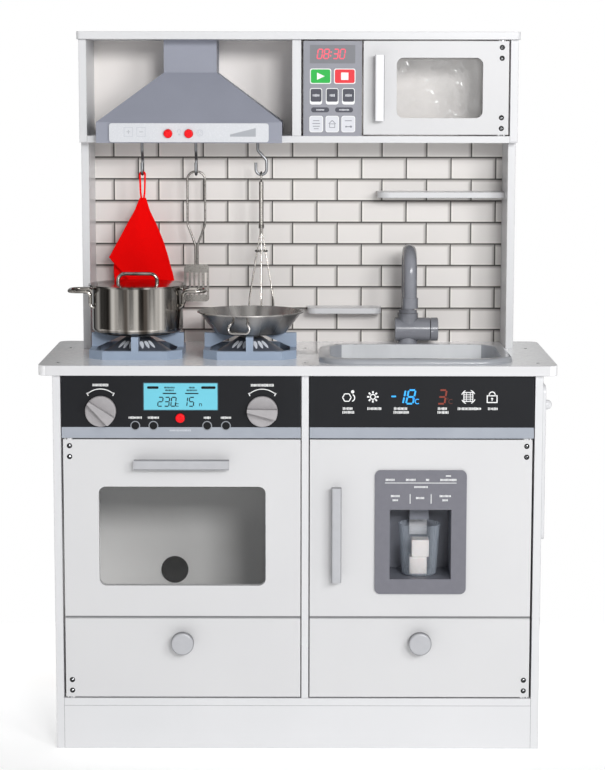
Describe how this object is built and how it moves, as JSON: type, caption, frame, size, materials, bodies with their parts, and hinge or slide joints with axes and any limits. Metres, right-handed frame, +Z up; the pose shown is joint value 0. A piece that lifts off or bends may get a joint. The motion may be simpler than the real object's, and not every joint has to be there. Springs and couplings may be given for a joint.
{
  "type": "toy kitchen",
  "caption": "Children's play kitchen: white cabinet with oven, fridge with ice dispenser, hob, sink and tap, tiled wall, hood and microwave, with cookware and utensils.",
  "frame": {"origin": "on the floor, at the middle of the kitchen's plan", "axes": "+X to the right seen from the front, +Y from the front to the wall, +Z up"},
  "size_m": [0.72, 0.312, 1.007],
  "materials": {
    "white_board": "white melamine on MDF, satin",
    "back_sheet": "white hardboard",
    "tile_sheet": "printed tile pattern on hardboard",
    "panel_print": "black printed film on MDF",
    "micro_print": "grey printed film on MDF",
    "hood_abs": "blue-grey moulded ABS",
    "fascia_abs": "white moulded ABS",
    "grey_abs": "dark grey moulded ABS",
    "grate_abs": "blue-grey moulded ABS",
    "cap_abs": "dark moulded ABS",
    "knob_abs": "grey moulded ABS",
    "bezel_abs": "grey moulded ABS",
    "handle_abs": "pale grey moulded ABS",
    "white_abs": "white moulded plastic",
    "red_abs": "red translucent plastic",
    "sink_abs": "silver-grey moulded ABS",
    "black_plastic": "black moulded plastic",
    "clear_plastic": "clear sheet",
    "clear_cup": "clear moulded polystyrene",
    "ice_white": "white blocks",
    "zinc_screw": "bright zinc",
    "hinge_set": "white plastic shoe with bright screws",
    "steel": "polished stainless steel",
    "wire_steel": "bright steel wire",
    "hook_steel": "grey zinc plated wire",
    "red_cloth": "red woven cotton"
  },
  "bodies": {
    "cabinet": {"side_panel_left": "white_board", "side_panel_right": "white_board", "centre_divider": "white_board", "bottom_shelf": "white_board", "kickboard": "white_board", "lower_back_panel": "back_sheet", "vent_cap": "black_plastic", "worktop": "white_board", "worktop_screws": "zinc_screw", "oven_control_panel": "panel_print", "fridge_control_panel": "panel_print", "sound_module": "black_plastic", "tall_side_left": "white_board", "tall_side_right": "white_board", "top_board": "white_board", "box_shelf": "white_board", "box_divider": "white_board", "upper_back_panel": "tile_sheet", "wall_ledges": "white_board", "microwave_panel": "micro_print", "hood_shell": "hood_abs", "hood_fascia": "fascia_abs", "hob_grates": "grate_abs", "burner_caps": "cap_abs", "sink_basin": "sink_abs", "tap_body": "grey_abs", "utensil_hooks": "hook_steel", "side_rail": "white_board"},
    "oven_door": {"oven_door": "white_board", "oven_window": "clear_plastic", "oven_handle": "handle_abs", "oven_pull_knob": "handle_abs", "oven_door_hinges": "hinge_set"},
    "fridge_door": {"fridge_door": "white_board", "fridge_handle": "handle_abs", "fridge_pull_knob": "handle_abs", "fridge_door_hinges": "hinge_set", "dispenser_housing": "bezel_abs", "ice_hopper": "bezel_abs"},
    "microwave_door": {"microwave_door": "white_board", "microwave_window": "clear_plastic", "microwave_handle": "handle_abs", "microwave_door_hinges": "hinge_set"},
    "oven_knob_left": {"oven_knob_left": "knob_abs"},
    "oven_knob_right": {"oven_knob_right": "knob_abs"},
    "stove_button": {"stove_button": "red_abs"},
    "hood_button_left": {"hood_button_left": "red_abs"},
    "hood_button_right": {"hood_button_right": "red_abs"},
    "dispenser_lever": {"dispenser_lever": "white_abs"},
    "tap_spout": {"tap_spout": "grey_abs"},
    "tap_knob": {"tap_knob": "grey_abs"},
    "pot_lid": {"pot_lid": "steel"},
    "pan": {"pan": "steel"},
    "whisk": {"whisk": "wire_steel"},
    "turner": {"turner": "wire_steel"},
    "pot_cloth": {"pot_cloth": "red_cloth"},
    "pot": {"pot_body": "steel"},
    "tumbler": {"tumbler": "clear_cup", "ice_cubes": "ice_white"}
  },
  "joints": [
    {"name": "oven_door_hinge", "type": "hinge", "parent": "cabinet", "child": "oven_door", "pos_m": [-0.3197, -0.1305, 0.25885], "axis": [0, 0, -1], "range_deg": [0, 100]},
    {"name": "fridge_door_hinge", "type": "hinge", "parent": "cabinet", "child": "fridge_door", "pos_m": [0.3197, -0.1305, 0.25885], "axis": [0, 0, 1], "range_deg": [0, 100]},
    {"name": "microwave_door_hinge", "type": "hinge", "parent": "cabinet", "child": "microwave_door", "pos_m": [0.292, 0.0375, 0.92735], "axis": [0, 0, 1], "range_deg": [0, 100]},
    {"name": "oven_knob_left_turn", "type": "hinge", "parent": "cabinet", "child": "oven_knob_left", "pos_m": [-0.2737, -0.136, 0.4825], "axis": [0, -1, 0], "continuous": true},
    {"name": "oven_knob_right_turn", "type": "hinge", "parent": "cabinet", "child": "oven_knob_right", "pos_m": [-0.0493, -0.136, 0.4825], "axis": [0, -1, 0], "continuous": true},
    {"name": "stove_button_press", "type": "slide", "parent": "cabinet", "child": "stove_button", "axis": [0, 1, 0], "range_m": [0, 0.002], "stiffness_N_per_m": 300},
    {"name": "hood_button_left_press", "type": "slide", "parent": "cabinet", "child": "hood_button_left", "axis": [0, 1, 0], "range_m": [0, 0.002], "stiffness_N_per_m": 300},
    {"name": "hood_button_right_press", "type": "slide", "parent": "cabinet", "child": "hood_button_right", "axis": [0, 1, 0], "range_m": [0, 0.002], "stiffness_N_per_m": 300},
    {"name": "dispenser_lever_swing", "type": "hinge", "parent": "fridge_door", "child": "dispenser_lever", "pos_m": [0.1717, -0.066, 0.3382], "axis": [1, 0, 0], "range_deg": [0, 8], "stiffness_Nm_per_rad": 0.05},
    {"name": "tumbler_slide", "type": "slide", "parent": "fridge_door", "child": "tumbler", "axis": [0, -1, 0], "range_m": [0, 0.08]},
    {"name": "tap_spout_swivel", "type": "hinge", "parent": "cabinet", "child": "tap_spout", "pos_m": [0.16345, 0.119, 0.594], "axis": [0, 0, 1], "range_deg": [-70, 70]},
    {"name": "tap_knob_turn", "type": "hinge", "parent": "cabinet", "child": "tap_knob", "pos_m": [0.20345, 0.119, 0.5695], "axis": [1, 0, 0], "range_deg": [-45, 45]},
    {"name": "pot_lift", "type": "slide", "parent": "cabinet", "child": "pot", "axis": [0, 0, 1], "range_m": [0, 0.06]},
    {"name": "pot_lid_lift", "type": "slide", "parent": "pot", "child": "pot_lid", "axis": [0, 0, 1], "range_m": [0, 0.05]},
    {"name": "pan_lift", "type": "slide", "parent": "cabinet", "child": "pan", "axis": [0, 0, 1], "range_m": [0, 0.02]},
    {"name": "pot_cloth_swing", "type": "hinge", "parent": "cabinet", "child": "pot_cloth", "pos_m": [-0.23025, 0.103, 0.8026], "axis": [0, -1, 0], "range_deg": [-6, 1]},
    {"name": "turner_swing", "type": "hinge", "parent": "cabinet", "child": "turner", "pos_m": [-0.15105, 0.103, 0.8026], "axis": [0, -1, 0], "range_deg": [-1, 12]},
    {"name": "whisk_swing", "type": "hinge", "parent": "cabinet", "child": "whisk", "pos_m": [-0.05495, 0.098, 0.8026], "axis": [1, 0, 0], "range_deg": [-3, 6]}
  ]
}
